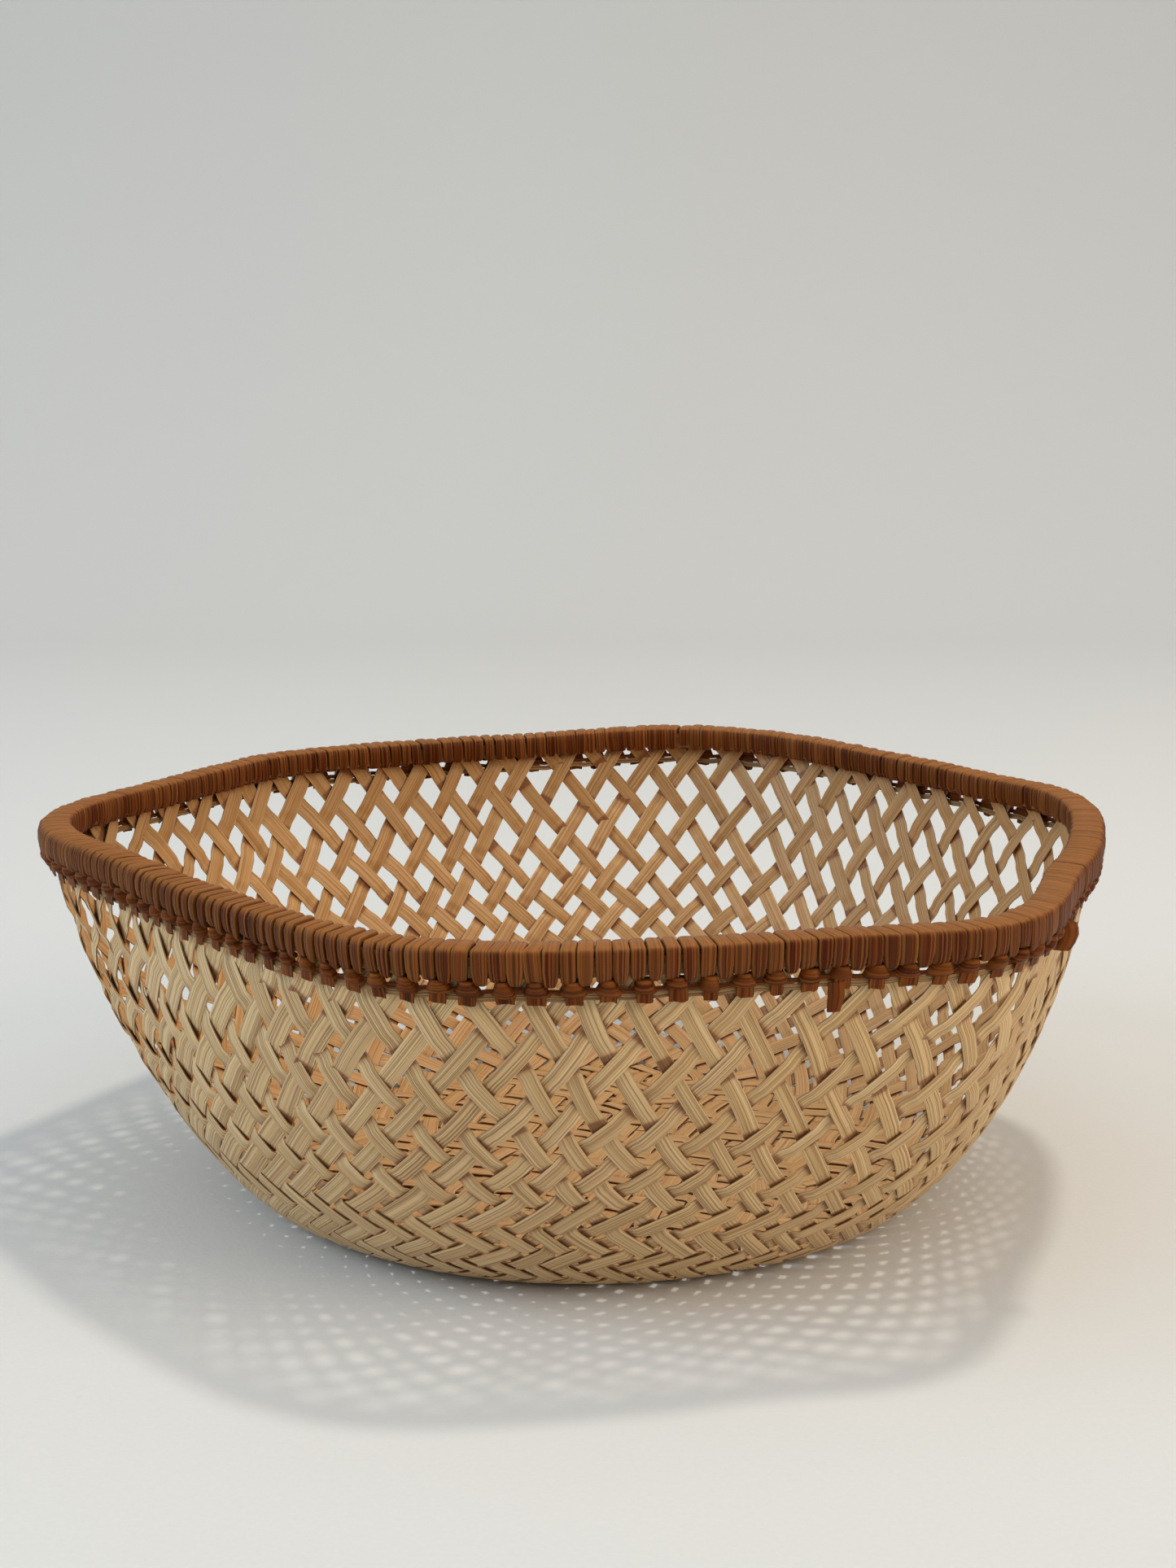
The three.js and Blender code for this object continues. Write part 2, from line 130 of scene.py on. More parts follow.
# Rows over which the tilt of a splint's section sets in
TILT_ROWS = (8, 16)
# Each splint draws a number below this one, and its grain follows from that
GRAIN_NUMBERS = 400

WRAPS_PER_LENGTH = 40
KNOTS_PER_LENGTH = 20


def make_camera():
    """The photograph's view: the front of the basket, from a little above its rim."""
    data = bpy.data.cameras.new("camera")
    data.sensor_width = SENSOR
    data.lens = SENSOR * FOCAL_LENGTH / FRAME_HEIGHT
    camera = bpy.data.objects.new("camera", data)
    camera.location = [place * MM for place in CAMERA_PLACE]
    camera.rotation_euler = (np.radians(90 - CAMERA_PITCH), 0, 0)
    bpy.context.scene.collection.objects.link(camera)
    bpy.context.scene.camera = camera


# Curves of one variable

def rise(value, start, end):
    """0 before the start, 1 past the end, and 3x^2 - 2x^3 at the share x of the way between them."""
    share = np.clip((value - start) / (end - start), 0, 1)
    return share * share * (3 - 2 * share)


def around(anchors, bearing):
    """A closed curve over bearing through the anchors, with half a cosine wave between neighbours."""
    places = sorted((place % 360, value) for place, value in anchors)
    result = np.zeros_like(bearing)
    for (start, first), (end, last) in zip(places, places[1:] + places[:1]):
        along = ((bearing - start) % 360) / ((end - start) % 360)
        inside = along < 1
        result[inside] = first + (last - first) * (1 - np.cos(np.pi * along[inside])) / 2
    return result


def rim_radius(bearing):
    """The rim's radius at a bearing.

    Mean radius, plus the side middle's amount, plus the rest of the way to the corner's amount times the sine
    squared of the quarter turn between them, raised to the corner sharpness.
    """
    result = np.zeros_like(bearing)
    for i, (start, first) in enumerate(RIM_PLAN):
        end, last = RIM_PLAN[(i + 1) % len(RIM_PLAN)]
        along = ((bearing - start) % 360) / ((end - start) % 360)
        inside = along < 1
        from_middle = 1 - along[inside] if i % 2 == 0 else along[inside]
        corner, middle = (first, last) if i % 2 == 0 else (last, first)
        share = (np.sin(np.pi * from_middle / 2) ** 2) ** CORNER_SHARPNESS
        result[inside] = middle + (corner - middle) * share
    return RIM_RADIUS + result


def bowl_profile():
    """Run, radius, height and outward direction of the wall's outer face, from the middle of the base.

    It is flat to the base's edge. Above that the radius is the base's plus the rest times
    (1 - (1 - t)^top)^(1 / foot), with t the height over the shoulder's, and then it goes straight up.
    """
    height = SHOULDER * np.linspace(0, 1, 3000) ** 2
    t = height / SHOULDER
    rest = RIM_RADIUS + WALL_THICKNESS / 2 - BASE_RADIUS
    radius = BASE_RADIUS + rest * (1 - (1 - t) ** BELLY_TOP) ** (1 / BELLY_FOOT)
    radius = np.concatenate([[0, BASE_RADIUS - EDGE_TURN], radius, [radius[-1]]])
    height = np.concatenate([[0, 0], height, [HEIGHT + PROFILE_REACH]])
    run = np.concatenate([[0], np.cumsum(np.hypot(np.diff(radius), np.diff(height)))])
    slope = np.gradient(height, run), -np.gradient(radius, run)
    return run, radius, height, slope[0], slope[1]


PROFILE = bowl_profile()


def in_plan(r, angle, t, z):
    """The point at a radius, angle and height, moved by the share t of the rim's shift."""
    return np.stack([r * np.cos(angle) + RIM_SHIFT[0] * t, r * np.sin(angle) + RIM_SHIFT[1] * t, z], -1)


def bowl(bearing, run, off):
    """A point off millimetres outside the wall's outer face, run millimetres along the profile.

    The round base turns into the rim's plan and moves to the rim's centre as the height grows.
    """
    distance, radius, height, out, up = PROFILE
    out, up = np.interp(run, distance, out), np.interp(run, distance, up)
    r = np.interp(run, distance, radius) + off * out
    z = np.interp(run, distance, height) + off * up
    t = np.clip(z / SHOULDER, 0, 1)
    r = r + t * (rim_radius(bearing) - RIM_RADIUS)
    angle = np.radians(bearing)
    return in_plan(r, angle, t, z)


def run_at(height):
    """Distance along the profile at a height on the wall."""
    return np.interp(height, PROFILE[2][1:], PROFILE[0][1:])


def in_rim(bearing, across, drop):
    """A point in the rim: across is outwards from its centre line, drop is down from its top."""
    r = rim_radius(bearing) + across
    return in_plan(r, np.radians(bearing), 1, HEIGHT - drop + 0 * r)


# Meshes

def unit(vectors):
    """The vectors, each divided by its length."""
    return vectors / np.linalg.norm(vectors, axis=-1, keepdims=True)


def carried(path, side, outward, section):
    """A section carried along paths: each point is the path's point plus section x times side plus section y
    times outward. path, side and outward are strips x rings x 3; section is strips x rings x points x 2."""
    return path[:, :, None] + side[:, :, None] * section[..., :1] + outward[:, :, None] * section[..., 1:]


def tube_quads(strips, rings, points):
    """Faces of closed tubes on a strips x rings x points grid, their two ends closed by rows of quads."""
    index = np.arange(strips * rings * points).reshape(strips, rings, points)
    turned = np.roll(index, -1, 2)
    walls = np.stack([index[:, :-1], turned[:, :-1], turned[:, 1:], index[:, 1:]], -1).reshape(-1, 4)
    low = np.arange(points // 2 - 1)
    high = points - 1 - low
    ends = [np.stack([ring[:, high], ring[:, high - 1], ring[:, low + 1], ring[:, low]], -1).reshape(-1, 4)
            for ring in (index[:, 0], index[:, -1][:, ::-1])]
    return np.concatenate([walls] + ends)


def volume(points, quads):
    """Six times the signed volume inside the faces: positive when they point outwards."""
    a, b, c, d = (points[quads[:, k]] for k in range(4))
    return np.sum(a * np.cross(b, c)) + np.sum(a * np.cross(c, d))


def add_piece(name, grid, nodes, finish, maps, sharp=35, marks=None):
    """One piece from closed tubes on a strips x rings x points grid in millimetres.

    maps is strips x rings x points x 2, the surface's own lengthwise and crosswise coordinates. marks holds
    more values per point, and edges sharper than sharp degrees stay creased.
    """
    strips, rings, points = grid.shape[:3]
    spots = grid.reshape(-1, 3) * MM
    quads = tube_quads(strips, rings, points)
    if volume(spots, quads) < 0:
        quads = quads[:, ::-1]
    mesh = bpy.data.meshes.new(name)
    mesh.vertices.add(len(spots))
    mesh.vertices.foreach_set("co", spots.ravel())
    mesh.loops.add(quads.size)
    mesh.loops.foreach_set("vertex_index", quads.ravel().astype(np.int32))
    mesh.polygons.add(len(quads))
    mesh.polygons.foreach_set("loop_start", np.arange(0, quads.size, 4, dtype=np.int32))
    mesh.update(calc_edges=True)
    layer = mesh.uv_layers.new(name="lay")
    layer.data.foreach_set("uv", maps.reshape(-1, 2)[quads.ravel()].ravel())
    for mark, values in (marks or {}).items():
        attribute = mesh.attributes.new(mark, "FLOAT", "POINT")
        attribute.data.foreach_set("value", values.ravel().astype(np.float32))
    mesh.shade_smooth()
    mesh.set_sharp_from_angle(angle=np.radians(sharp))
    mesh.materials.append(finish)
    piece = bpy.data.objects.new(name, mesh)
    bpy.context.scene.collection.objects.link(piece)
    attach(piece, "root")
    for node in nodes:
        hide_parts(node)
    return piece


# Splints

def mat_to_wall(x, y):
    """Bearing and run of a point of the flat mat, counted in splints from its middle.

    The level is |x| + |y|. The wall starts at level 16, and its rows count from there. On the wall the
    bearing in each quadrant is its middle plus 45 degrees times (b - a) / 16, with a and b the point's
    distances along the quadrant's two sides, so a splint leans evenly. On the base it is the plain angle of
    x and y. The run is the level times the pitch near the middle, and follows the rows' heights up the wall.
    """
    level = np.abs(x) + np.abs(y)
    quadrant = np.where(x > 0, np.where(y > 0, 0, 3), np.where(y > 0, 1, 2))
    a = np.where(quadrant % 2 == 0, np.abs(x), np.abs(y))
    b = np.where(quadrant % 2 == 0, np.abs(y), np.abs(x))
    on_wall = 90 * quadrant + 45 + 45 * (b - a) / HALF_MAT
    on_base = 90 * quadrant + np.degrees(np.arctan2(b, a))
    turn = on_base + (on_wall - on_base) * rise(level, *TURN_LEVELS)
    row = level - HALF_MAT
    past = row - TWIST_START
    twisted = TWIST_START + (past + np.sqrt(past ** 2 + TWIST_BEND ** 2)) / 2
    bearing = turn + START_BEARING
    drift = around(COLUMN_DRIFT, bearing) * rise(level, 0, DRIFT_LEVEL)
    bearing = bearing + TWIST * (twisted - TWIST_ZERO) + drift
    rows = np.polynomial.Polynomial.fit(ROWS, ROW_HEIGHTS, 5)
    drop = around(ROW_DROP, bearing)
    squareness = np.sin(np.radians(2 * turn)) ** 2
    drop = drop + SQUARE_DROP * squareness * (1 - rise(row, 0, SQUARE_ROWS))
    wall_run = BASE_RADIUS + rows(np.maximum(row, 0)) - drop
    plain = BASE_PITCH / (np.abs(np.cos(np.radians(turn))) + np.abs(np.sin(np.radians(turn))))
    share = rise(level, 0, HALF_MAT)
    base_run = level * (plain * (1 - share) + wall_run / HALF_MAT * share)
    return bearing, np.where(row > 0, wall_run, base_run)


def row_at(x, line):
    """Row of the wall at a point of the splint that lies on a line of the mat: below 0 in the base."""
    return np.abs(x) + abs(line) - HALF_MAT


def outer_at(row, leans_left):
    """1 where a splint lies outside at the crossings of a row, else -1.

    Near the rim the splints go over one and under one, so the two leans take turns row by row. Lower down
    they go over two and under two, so each lean has two rows in turn.
    """
    whole = np.round(row).astype(int)
    plain = np.where(whole % 2 == 1, 1, -1)
    twill = np.where((whole % 4 == 1) | (whole % 4 == 2), 1, -1)
    left_out = np.where(whole > TWILL_TOP, plain, twill)
    return np.where(leans_left, left_out, -left_out)


def side_at(crossing, line, lengthwise):
    """1 where a splint lies outside at one of its crossings, else -1."""
    out = outer_at(row_at(crossing, line), (crossing > 0) == (line > 0))
    return out if lengthwise else -out


def weave_offset(x, line, lengthwise):
    """How far out a splint lies along its way, from -1 to 1.

    Between two crossings the offset goes from one side to the other by a smooth step, after a flat stretch on
    either side of each crossing that is shorter where the crossings are far apart.
    """
    before = np.floor(x - 0.5) + 0.5
    sides = [side_at(crossing, line, lengthwise) for crossing in (before, before + 1)]
    along = x - before
    low, high = FLAT_STRETCH
    flat = low + (high - low) * rise(row_at(x, line), *FLAT_ROWS)
    return sides[0] + (sides[1] - sides[0]) * rise(along, flat, 1 - flat)


def dives(x, line, lengthwise, along):
    """How close a point of a splint is to going under the splint that crosses it, outside and inside.

    1 beneath the crossing splint and at its edge, and 0 from DIVE_REACH beyond that edge.
    """
    # This sets where shade is painted at the dives
    nearest = np.floor(x) + 0.5
    apart = np.abs(x - nearest) * np.gradient(along, x)
    near = 1 - rise(apart, SPLINT_WIDTH / 2, SPLINT_WIDTH / 2 + DIVE_REACH)
    out = side_at(nearest, line, lengthwise)
    return near * (out < 0), near * (out > 0)


def splint_path(line, lengthwise, samples):
    """Points, side and outward directions along one splint on the wall's middle, then what changes along it.

    These are its offset, length so far, row, share of the usual width, and how close it is to its dives
    outside and inside, which sets where shade is painted.
    """
    reach = TOP_ROW + HALF_MAT - abs(line)
    middle = -WALL_THICKNESS / 2
    phases = rng.uniform(0, 2 * np.pi, 3)
    swing = rng.normal(0, WANDER)
    end_shift = rng.normal(0, END_SHIFT, 2)

    def along_wall(x):
        wander = sum(s * np.sin(x * f + p) for s, f, p in zip(swing, WANDER_WAVES, phases))
        wander = wander + np.where(x > 0, end_shift[0], end_shift[1])
        side = line + wander * rise(row_at(x, line), *LOOSE_ROWS)
        return mat_to_wall(x, side) if lengthwise else mat_to_wall(side, x)

    def place(x, off):
        return bowl(*along_wall(x), off)

    dense = np.linspace(-reach, reach, 2400)
    dense = dense[along_wall(dense)[1] < run_at(SPLINT_TOP)]
    points = place(dense, middle)
    length = np.concatenate([[0], np.cumsum(np.linalg.norm(np.diff(points, axis=0), axis=1))])
    x = np.interp(np.linspace(0, length[-1], samples), length, dense)
    path = place(x, middle)
    along = np.linspace(0, length[-1], samples)
    step = 0.02
    tangent = unit(place(x + step, middle) - place(x - step, middle))
    over = place(x, middle + 1) - place(x, middle - 1)
    outward = unit(over - tangent * np.sum(over * tangent, -1, keepdims=True))
    offset = weave_offset(x, line, lengthwise)
    outside, inside = dives(x, line, lengthwise, along)
    side = np.cross(outward, tangent)
    share = around(WIDTH_SHARE, along_wall(x)[0])
    return path, side, outward, offset, along, row_at(x, line), share, outside, inside


# The outline of a splint: width and thickness shares of each point, crowned a little on both faces
SPLINT_OUTLINE = np.array([
    (-0.5, -0.3), (-0.44, -0.46), (0, -0.52), (0.44, -0.46), (0.5, -0.3),
    (0.5, 0.3), (0.44, 0.46), (0, 0.52), (-0.44, 0.46), (-0.5, 0.3)])


def splints(name, lines, lengthwise, finish, samples=560):
    """Neighbouring splints of one direction, each a flat section carried along its woven path.

    The width differs from splint to splint, waves a little along each, and takes its share of the usual width
    as the splint leaves the base. Near the rim each section is tilted a little.
    """
    made = [np.stack(part) for part in zip(*(splint_path(line, lengthwise, samples) for line in lines))]
    path, side, outward, offset, along, row, share, outside, inside = made
    count = len(lines)
    width = SPLINT_WIDTH * (1 + rng.normal(0, 0.055, (count, 1))) * (1 + 0.03 * np.sin(along * 0.02 + row))
    width = width * (MAT_WIDTH_SHARE + (share - MAT_WIDTH_SHARE) * rise(row, *WIDTH_ROWS))
    path = path + outward * (offset * WEAVE_LIFT)[..., None]
    section = SPLINT_OUTLINE * np.stack([width, np.full_like(width, SPLINT_THICKNESS)], -1)[:, :, None]
    tilt = (rng.normal(0, 0.05, (count, 1)) * rise(row, *TILT_ROWS))[..., None]
    section = np.stack([section[..., 0], section[..., 1] + section[..., 0] * tilt], -1)
    grid = carried(path, side, outward, section)
    grid[..., 2] = np.maximum(grid[..., 2], 0)
    number = rng.permutation(GRAIN_NUMBERS)[:count]
    across = SPLINT_OUTLINE[:, 0] + 0.5 + np.where(SPLINT_OUTLINE[:, 1] > 0, 0, 1)
    maps = np.stack(np.broadcast_arrays(along[..., None] * MM, across + 3 * number[:, None, None]), -1)
    # The under mark sets where red-brown shade is painted at the dives
    under = np.where(SPLINT_OUTLINE[:, 1] > 0, outside[..., None], inside[..., None])
    return add_piece(name, grid, ["woven_body"], finish, maps, marks={"under": under})


def make_splints(finish):
    """Eight pieces of four splints for each of the two directions."""
    lines = (np.arange(SPLINTS) - HALF_MAT + 0.5).reshape(-1, SPLINTS_PER_PIECE)
    for lengthwise, kind in ((True, "splints_across"), (False, "splints_along")):
        for i, four in enumerate(lines):
            splints(f"{kind}_{i + 1}", four, lengthwise, finish)


# Rim binding

# Bearing per millimetre along the rim
DEGREE = 180 / (np.pi * RIM_RADIUS)
# Way of a wrap around the rim, from the outer lip over the top to the inner lip: across and drop
WRAP_WAY = np.array([
    (2.0, 6.95), (3.2, 6.9), (3.85, 6.1), (4.15, 4.2), (4.2, 1.5), (4.05, 0.55), (3.4, 0.1), (0, 0),
    (-3.2, 0.12), (-4.0, 0.75), (-4.2, 2.2), (-4.1, 5.0), (-3.3, 6.7), (-1.8, 6.95)])
# How far the way's points move where the rim's outer edge is rolled instead of creased
ROLLING = np.array([
    (0, 0), (0, 0), (0, 0.1), (0, 0.35), (-0.08, 1.3), (-0.4, 0.8), (-0.9, 0.3)] + [(0, 0)] * 7)
# Bearing and how rolled the edge is there
WRAP_ROLL = ((-172, 1.0), (-112, 1.0), (-99, 0.1), (-45, 0.1), (0, 0.6), (90, 0.4), (150, 0.7))
# Outline of the wrap's strip: share of its width, and depth below its highest face
WRAP_OUTLINE = np.array([
    (-0.5, 0.7), (-0.5, 0.42), (-0.42, 0.13), (-0.22, 0), (0.22, 0), (0.42, 0.13), (0.5, 0.42), (0.5, 0.7)])
# Bearing and the share of the rim that the strips cover there
WRAP_COVER = ((-172, 0.92), (-150, 0.88), (-109, 0.87), (-103, 0.97), (-60, 0.96), (-50, 0.88), (-35, 0.9),
              (20, 0.96), (90, 0.96), (150, 0.94))
# Bearing and how far a strip's lower end outside lies ahead of its top there
WRAP_LEAN = ((-172, 0.3), (-150, 0.9), (-112, 1.1), (-103, 0.1), (-60, -0.1), (-45, 0.3), (20, 0.2),
             (150, 0.3))
# How much further down outside the strips between two knots reach, and the others
WRAP_LONGER = (0.65, 0.05)
# Share of their width that these lose at their lower ends, and the others
WRAP_TAPER = (0.36, 0.12)


def length_ends(index):
    """Bearings where a length of binding starts and ends."""
    gap = np.degrees(JOIN_GAP / RIM_RADIUS)
    start = FIRST_JOIN + index * 360 / LENGTHS
    return start + gap / 4, start + 360 / LENGTHS - gap / 4


def even_bearings(start, end, count):
    """Bearings of the middles of count equal lengths of the rim's centre line, and such a length."""
    fine = np.linspace(start, end, 600)
    points = in_rim(fine, 0, 0)
    run = np.concatenate([[0], np.cumsum(np.linalg.norm(np.diff(points, axis=0), axis=1))])
    return np.interp((np.arange(count) + 0.5) / count * run[-1], run, fine), run[-1] / count


def binding(index, finish):
    """One length of binding: flat strips side by side, each carried once over the rim.

    A strip's width is its share of the pitch, and its outline is set below the way along the way's normal.
    Each one is shifted, raised, tilted, slanted and bent a little. Every other strip, the one between two
    knots, reaches further down outside and narrows there.
    """
    start, end = length_ends(index)
    middles, pitch = even_bearings(start, end, WRAPS_PER_LENGTH)
    count = len(middles)
    middles = middles + rng.normal(0, 0.07, count) * DEGREE
    cover = around(WRAP_COVER, middles)
    width = pitch * cover * rng.normal(1, 0.035, count)
    lift = rng.normal(0, 0.09, count)
    tilt = rng.normal(0, 0.1, count) + 0.25 * rise(cover, 0.95, 0.85)
    slant = (around(WRAP_LEAN, middles) / 2 + rng.normal(0, 0.07, count)) * DEGREE
    sway = rng.normal(0, 0.06, count) * DEGREE
    hangs = np.arange(count) % 2 == 0
    longer = np.where(hangs, *WRAP_LONGER) + rng.normal(0, 0.15, count)
    roll = around(WRAP_ROLL, middles)[:, None]
    turn = WRAP_WAY + roll[:, None] * ROLLING
    across_way, drop_way = turn[..., 0], turn[..., 1]
    height = 2 * drop_way / RIM_DEPTH - 1
    step = np.gradient(turn, axis=1)
    normal = unit(np.stack([-step[..., 1], step[..., 0]], -1))[:, :, None]
    outside = np.where(WRAP_WAY[:, 0] > 0.5, 1, -1)
    bearing = middles[:, None] + slant[:, None] * height * outside + sway[:, None] * height ** 2
    taper = 1 - np.where(hangs, *WRAP_TAPER)[:, None] * rise(drop_way, 5, RIM_DEPTH)
    bearing = bearing[:, :, None] + WRAP_OUTLINE[:, 0] * (width[:, None] * taper)[:, :, None] * DEGREE
    depth = WRAP_OUTLINE[:, 1] * (1 + 0.5 * roll) - lift[:, None] - tilt[:, None] * WRAP_OUTLINE[:, 0]
    across = across_way[:, :, None] - normal[..., 0] * depth[:, None]
    reach = longer[:, None] * rise(drop_way, 2, RIM_DEPTH) * (outside > 0)
    drop = (drop_way + reach)[:, :, None] - normal[..., 1] * depth[:, None]
    grid = in_rim(bearing, across, np.maximum(drop, 0))
    way = np.concatenate([[0], np.cumsum(np.linalg.norm(np.diff(WRAP_WAY, axis=0), axis=1))])
    number = index * count + np.arange(count)
    crosswise = WRAP_OUTLINE[:, 0] + 0.5 + 2 * number[:, None, None]
    maps = np.stack(np.broadcast_arrays(way[None, :, None] * MM, crosswise), -1)
    nodes = [f"rim_binding_{index + 1}"]
    return add_piece(f"binding_{index + 1}", grid, nodes, finish, maps, sharp=50)


# Knots, runner, loose tail and end knot

# Plan of a knot's hood: share of its half width, and of its depth off the wall
HOOD_OUTLINE = np.array([
    (-1, 0), (-0.8, 0.6), (-0.3, 0.95), (0.25, 1), (0.75, 0.7), (1, 0), (0.6, -0.1), (-0.6, -0.1)])
# Section of a flat strip: share of its half width, and of its half thickness
FLAT_OUTLINE = np.array([
    (-1, -0.6), (-1, 0.5), (-0.5, 1), (0.5, 1), (1, 0.5), (1, -0.6), (0.4, -1), (-0.4, -1)])
# How far a knot lies ahead of its even place, and how far a hood reaches below the wraps
KNOT_AHEAD = 2.45
KNOT_TALL = 3.1
# Half width of a hood at its top, and how much further its left and right sides reach below
KNOT_NARROW = 1.5
KNOT_FLARE = (1.1, 1.65)
# How far a hood's back lies off the wall, and its front off that at the top
HOOD_OFF = 0.9
HOOD_DEPTH = 2.2
# Half width and length of a tail, how far below the wraps it starts and how far off the wall it lies
TAIL_HALF = 1.6
TAIL_LENGTH = 2.7
TAIL_DROP = 2.0
TAIL_OFF = 1.75
# The tails' numbers count from here, so that their grain isn't the hoods'
TAIL_NUMBERS = 300
# Height of each wave of a strand, and how many of them go around the rim
STRAND_WAVES = ((0.16, 51), (0.1, 133))
# Length of a short strip as its grain takes it, in metres
SHORT_LENGTH = 0.006


def beside(bearing, height, off):
    """A point off millimetres outside the wall at a height, level with the floor."""
    bearing, height, off = np.broadcast_arrays(bearing, height, off)
    r = np.interp(run_at(height), PROFILE[0], PROFILE[1]) + off
    t = np.clip(height / SHOULDER, 0, 1)
    r = r + t * (rim_radius(bearing) - RIM_RADIUS)
    return in_plan(r, np.radians(bearing), t, height)


def knots(index, finish):
    """One row of knots, each a hood that widens downwards from under a wrap, and the tail that leaves it.

    v is the share of the way down. A hood's sides flare with v, the right one further and to a corner, its
    front swells and sinks back, and its lower edge is turned in. A tail is a flat strip over the runner with
    a ragged end.
    """
    start, end = length_ends(index)
    middles, _ = even_bearings(start, end, KNOTS_PER_LENGTH)
    count = len(middles)
    middles = middles + rng.normal(KNOT_AHEAD, 0.22, count) * DEGREE

    def vary(mean, spread):
        return rng.normal(mean, spread, (count, 1, 1))

    v = np.array([0, 0.25, 0.5, 0.72, 0.88, 1.0])[None, :, None]
    x, y = HOOD_OUTLINE.T
    tall = vary(KNOT_TALL, 0.22)
    narrow = vary(KNOT_NARROW, 0.1)
    flare = np.where(x > 0, vary(KNOT_FLARE[1], 0.25), vary(KNOT_FLARE[0], 0.25))
    half = narrow + flare * v ** 1.2 - 0.35 * rise(v, 0.86, 1)
    depth = HOOD_DEPTH + 0.5 * np.sin(np.pi * v) - 1.1 * v ** 2
    off = HOOD_OFF + depth * y - 0.2 * rise(v, 0.8, 1)
    slope = vary(0.18, 0.14) * x * v
    z = SHOULDER + 0.3 - tall * v - slope - 0.35 * v * (1 - x ** 2)
    bearing = middles[:, None, None] + half * x * DEGREE
    hoods = beside(bearing, z, off)
    hood_map = np.stack(np.broadcast_arrays(half * x * MM, v * 0.8 + 0.1 * (y < 0.3)), -1)

    v = np.array([0, 0.3, 0.55, 0.8, 0.95, 1.0])[None, :, None]
    tail_half = vary(TAIL_HALF, 0.14) * (0.95 + 0.12 * v) * (1 - 0.1 * rise(v, 0.9, 1))
    x, y = FLAT_OUTLINE.T
    length = vary(TAIL_LENGTH, 0.2)
    swing = vary(0.0, 0.2)
    ragged = rng.normal(0, 0.16, (count, 1, len(x))) * rise(v, 0.8, 1)
    z = SHOULDER - TAIL_DROP - length * v + ragged - 0.1 * x * v
    bearing = middles[:, None, None] + (tail_half * x + 0.25 + swing * v) * DEGREE
    tails = beside(bearing, z, TAIL_OFF - 0.15 * v + 0.3 * y * (1 - 0.3 * v))
    tail_map = np.stack(np.broadcast_arrays(0.02 + v * length * MM + 0 * x, 0.5 + 0.5 * x), -1)

    grid = np.concatenate([hoods, tails])
    number = index * count + np.arange(count)
    number = np.concatenate([number, number + TAIL_NUMBERS])[:, None, None, None]
    maps = np.concatenate([hood_map, tail_map]) + 2 * number * (0, 1)
    nodes = [f"knot_row_{index + 1}"]
    return add_piece(f"knots_{index + 1}", grid, nodes, finish, maps, sharp=55)


def strand(name, level, off, half_height, thickness, nodes, finish, number):
    """A thin strip once around the outside of the wall, with small waves, its ends a hair apart."""
    bearing = FIRST_JOIN + 90 + np.linspace(0.1, 359.9, 720)[None, :, None]
    x, y = FLAT_OUTLINE.T
    wave = sum(high * np.sin(np.radians(bearing) * count) for high, count in STRAND_WAVES)
    grid = beside(bearing, level + wave + half_height * x, off + thickness * y)
    maps = np.stack(np.broadcast_arrays(bearing / DEGREE * MM + 0 * x, 0.5 + 0.5 * x + 2 * number), -1)
    return add_piece(name, grid, nodes, finish, maps)


def short_strip(name, way, half_widths, thickness, node, finish, number, outline=FLAT_OUTLINE):
    """A short strip down the wall.

    Its way lists bearing, height and off, and its half widths are spread evenly over the way. The outline
    gives shares of the half width, along the wall, and of the thickness, off it.
    """
    way = np.asarray(way, float)
    t = np.linspace(0, 1, 13)
    at_way = np.linspace(0, 1, len(way))
    bearing, height, off = (np.interp(t, at_way, way[:, k])[:, None] for k in range(3))
    half = np.interp(t, np.linspace(0, 1, len(half_widths)), half_widths)[:, None]
    x, y = outline.T
    grid = beside(bearing + half * x * DEGREE, height, off + thickness * y)[None]
    crosswise = 0.5 + 0.25 * x + 0.2 * y + 2 * number
    maps = np.stack(np.broadcast_arrays(t[:, None] * SHORT_LENGTH + 0 * x, crosswise), -1)[None]
    return add_piece(name, grid, [node], finish, maps, sharp=55)


# Materials

class Wire:
    """One output of a node tree. Arithmetic on it adds Math nodes; node() adds any other node."""

    def __init__(self, tree, socket):
        self.tree = tree
        self.socket = socket

    def node(self, kind, settings=None, inputs=None, output=0):
        return add_node(self.tree, kind, settings, inputs, output)

    def maths(self, operation, *values):
        return self.node("ShaderNodeMath", {"operation": operation}, dict(enumerate(values)))

    def __add__(self, other):
        return self.maths("ADD", self, other)

    def __sub__(self, other):
        return self.maths("SUBTRACT", self, other)

    def __rsub__(self, other):
        return self.maths("SUBTRACT", other, self)

    def __mul__(self, other):
        return self.maths("MULTIPLY", self, other)

    def __truediv__(self, other):
        return self.maths("DIVIDE", self, other)

    def absolute(self):
        return self.maths("ABSOLUTE", self)

    def floor(self):
        return self.maths("FLOOR", self)

    def fraction(self):
        return self.maths("FRACT", self)

    def between(self, low, high):
        """0 at low, 1 at high, with a smooth step between them."""
        return self.node("ShaderNodeMapRange", {"interpolation_type": "SMOOTHSTEP"},
                         {0: self, 1: low, 2: high, 3: 0.0, 4: 1.0})


def add_node(tree, kind, settings=None, inputs=None, output=0):
    """Adds a node: its settings first, then the values or wires of its sockets. Gives one of its outputs."""
    made = tree.nodes.new(kind)
    for name, value in (settings or {}).items():
        setattr(made, name, value)
    for name, value in (inputs or {}).items():
        if isinstance(value, Wire):
            tree.links.new(value.socket, made.inputs[name])
        else:
            made.inputs[name].default_value = value
    return Wire(tree, made.outputs[output] if made.outputs else None)


def colour(red, green, blue):
    """A colour as seen on a screen, 0 to 255, as the linear colour that a node takes."""
    value = np.array([red, green, blue]) / 255
    linear = np.where(value <= 0.04045, value / 12.92, ((value + 0.055) / 1.055) ** 2.4)
    return (*linear.tolist(), 1.0)


